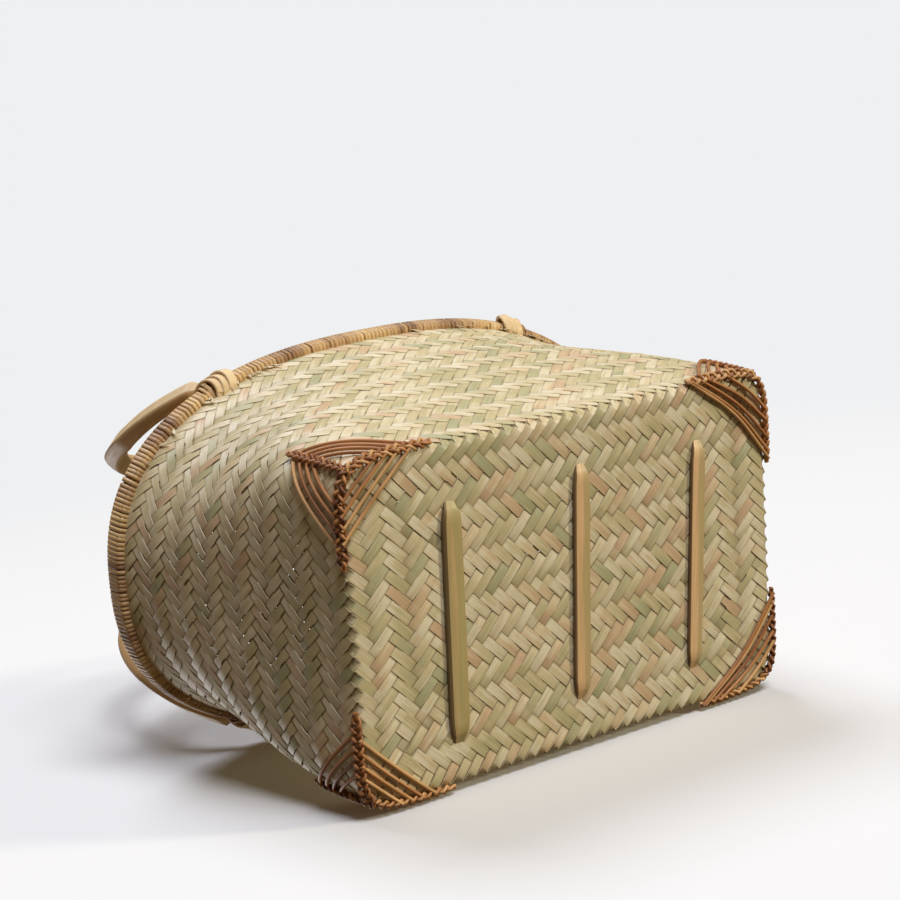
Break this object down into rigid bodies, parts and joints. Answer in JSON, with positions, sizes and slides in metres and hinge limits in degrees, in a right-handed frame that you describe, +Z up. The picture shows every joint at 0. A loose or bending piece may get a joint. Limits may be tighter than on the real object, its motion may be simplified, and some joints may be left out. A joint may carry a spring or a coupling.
{
  "type": "bamboo basket bag",
  "caption": "Twill-woven bamboo basket bag with a square-cornered base, an oval bound rim, two bent cane handles, base slats and laced lower corners.",
  "frame": {"origin": "middle of the footprint, on the surface that the base slats rest on", "axes": "+Z up out of the mouth, +X along the long sides, +Y across from the front side to the back side"},
  "size_m": [0.3884, 0.2488, 0.3791],
  "materials": {
    "straw_weave": "dry matte split bamboo",
    "rim_cane": "satin split cane",
    "rattan_peel": "satin rattan peel",
    "pale_cane": "satin split cane",
    "bamboo_slat": "smooth split bamboo",
    "thin_rattan": "satin thin rattan"
  },
  "bodies": {
    "basket": {"woven_body": "straw_weave", "rim_hoop_outer": "rim_cane", "rim_hoop_inner": "rim_cane", "rim_top_cane": "rim_cane", "rim_winding_front": "rattan_peel", "rim_winding_back": "rattan_peel", "rim_winding_left": "rattan_peel", "rim_winding_right": "rattan_peel", "base_slat_left": "bamboo_slat", "base_slat_middle": "bamboo_slat", "base_slat_right": "bamboo_slat", "corner_lacing_front_left": "thin_rattan", "corner_lacing_front_right": "thin_rattan", "corner_lacing_back_left": "thin_rattan", "corner_lacing_back_right": "thin_rattan"},
    "front_handle": {"handle_front": "pale_cane"},
    "back_handle": {"handle_back": "pale_cane"}
  },
  "joints": [
    {"name": "front_handle_swing", "type": "hinge", "parent": "basket", "child": "front_handle", "pos_m": [0, -0.1025, 0.2037], "axis": [1, 0, 0], "range_deg": [-4.4, 104.6]},
    {"name": "back_handle_swing", "type": "hinge", "parent": "basket", "child": "back_handle", "pos_m": [0, 0.1025, 0.2037], "axis": [-1, 0, 0], "range_deg": [-18.4, 90.6]}
  ]
}
